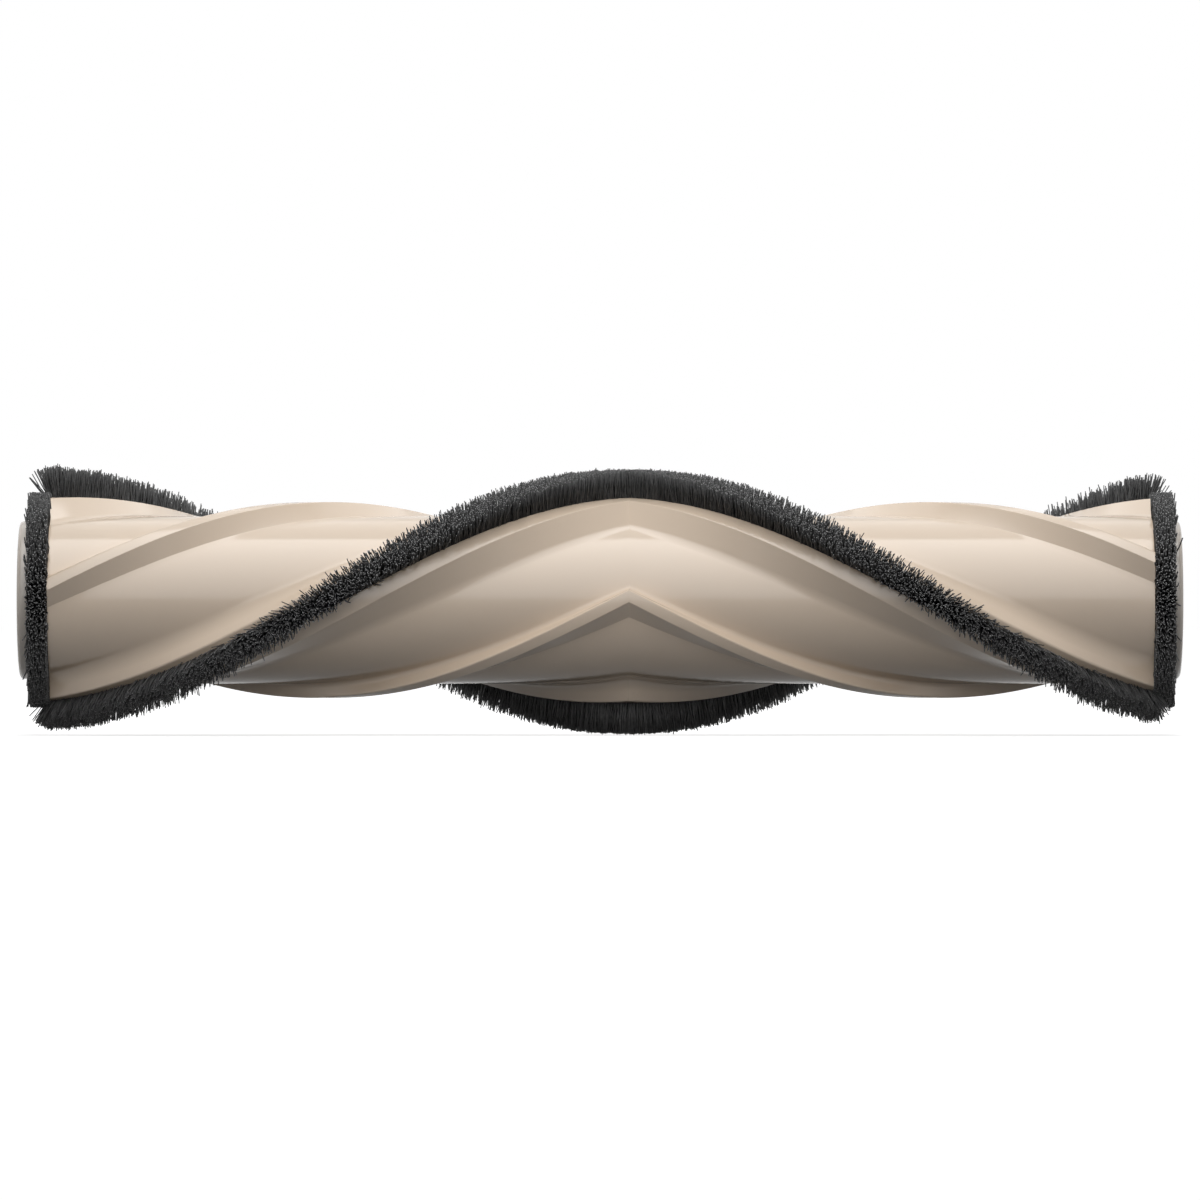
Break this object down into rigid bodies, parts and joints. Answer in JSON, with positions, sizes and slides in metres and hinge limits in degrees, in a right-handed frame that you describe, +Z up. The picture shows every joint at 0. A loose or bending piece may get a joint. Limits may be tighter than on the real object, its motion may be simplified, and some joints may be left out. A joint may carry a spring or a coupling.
{
  "type": "vacuum roller brush",
  "caption": "Main roller brush of a robot vacuum: a moulded tube with chevron ribs, helical bristle strips, bristle end rings, a square drive socket and an idler bearing.",
  "frame": {"origin": "on the roller axis at mid-length, between the outer faces of the two end discs", "axes": "+X along the roller axis towards the idler end, +Z up with the roller lying on its bristles, -Y towards the viewer of the picture"},
  "size_m": [0.1768, 0.0403, 0.0406],
  "materials": {
    "beige_moulded_plastic": "satin",
    "pale_moulded_plastic": "satin",
    "black_strip_backing": "matte",
    "black_nylon_bristle": "satin",
    "bearing_steel": "satin",
    "natural_nylon_cage": "satin",
    "black_spring_steel": "satin"
  },
  "bodies": {
    "roller": {"roller_body": "beige_moulded_plastic", "drive_cap": "pale_moulded_plastic", "bearing_cap": "pale_moulded_plastic", "bristle_spine_a_left": "black_strip_backing", "bristle_spine_a_right": "black_strip_backing", "bristle_spine_b_left": "black_strip_backing", "bristle_spine_b_right": "black_strip_backing", "bristle_row_a_left": "black_nylon_bristle", "bristle_row_a_right": "black_nylon_bristle", "bristle_row_b_left": "black_nylon_bristle", "bristle_row_b_right": "black_nylon_bristle", "end_ring_spine_left": "black_strip_backing", "end_ring_spine_right": "black_strip_backing", "end_ring_bristles_left": "black_nylon_bristle", "end_ring_bristles_right": "black_nylon_bristle", "bearing_outer_ring": "bearing_steel", "bearing_shield_inboard": "bearing_steel", "bearing_shield_outboard": "bearing_steel", "retaining_ring": "black_spring_steel"},
    "idler": {"bearing_inner_ring": "bearing_steel"},
    "ball_train": {"bearing_balls": "bearing_steel", "bearing_cage": "natural_nylon_cage"}
  },
  "joints": [
    {"name": "idler_spin", "type": "hinge", "parent": "roller", "child": "idler", "pos_m": [0.0845, 0, 0], "axis": [1, 0, 0], "continuous": true},
    {"name": "ball_train_spin", "type": "hinge", "parent": "roller", "child": "ball_train", "pos_m": [0.0845, 0, 0], "axis": [1, 0, 0], "continuous": true}
  ],
  "couplings": [
    {"joint": "ball_train_spin", "follows": "idler_spin", "ratio": 0.4}
  ]
}
